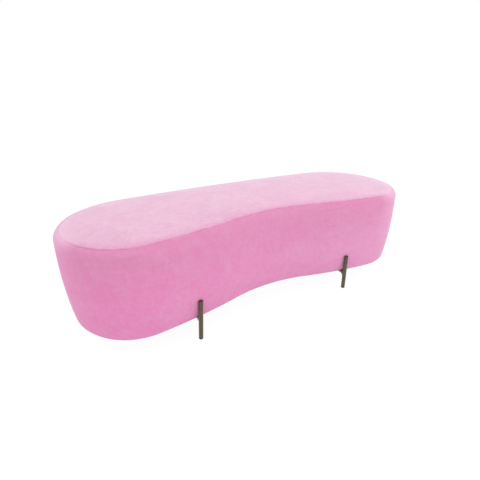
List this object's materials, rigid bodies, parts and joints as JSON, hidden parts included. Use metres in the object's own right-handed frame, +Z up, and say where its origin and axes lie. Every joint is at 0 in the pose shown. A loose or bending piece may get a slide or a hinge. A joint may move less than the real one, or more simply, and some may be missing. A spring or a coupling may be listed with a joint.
{
  "type": "kidney-shaped upholstered pouf",
  "caption": "Long low pouf with a kidney-shaped padded body, a seamed top panel and slim metal rod legs that stand outside the cover, for sitting on or resting the feet.",
  "frame": {"origin": "on the floor, under the middle of the length and depth", "axes": "+Z up, +X along the length, and the hollow of the kidney faces -Y"},
  "size_m": [1.4448, 0.5408, 0.406],
  "materials": {
    "top_cloth": "pink suede cloth",
    "side_cloth": "pink suede cloth",
    "lining_cloth": "thin black lining",
    "foam": "upholstery foam",
    "plywood": "plain plywood",
    "bronze": "dark bronze lacquer",
    "nylon": "dark nylon",
    "zinc": "zinc plated"
  },
  "bodies": {
    "root": {"base_panel": "plywood", "cross_rib_1": "plywood", "cross_rib_2": "plywood", "cross_rib_3": "plywood", "cross_rib_4": "plywood", "cross_rib_5": "plywood", "cross_rib_6": "plywood", "cross_rib_7": "plywood", "deck_panel": "plywood", "dust_cover": "lining_cloth", "leg_arm_front_left": "bronze", "leg_arm_front_right": "bronze", "leg_arm_rear_left": "bronze", "leg_arm_rear_right": "bronze", "leg_bolts": "zinc", "leg_glides": "nylon", "leg_gussets": "bronze", "leg_plate_front_left": "bronze", "leg_plate_front_right": "bronze", "leg_plate_rear_left": "bronze", "leg_plate_rear_right": "bronze", "leg_rod_front_left": "bronze", "leg_rod_front_right": "bronze", "leg_rod_rear_left": "bronze", "leg_rod_rear_right": "bronze", "seat_foam": "foam", "side_band": "side_cloth", "side_foam_back": "foam", "side_foam_front": "foam", "side_foam_left": "foam", "side_foam_right": "foam", "side_skin_back": "plywood", "side_skin_front": "plywood", "side_skin_left": "plywood", "side_skin_right": "plywood", "top_panel": "top_cloth"}
  },
  "joints": []
}
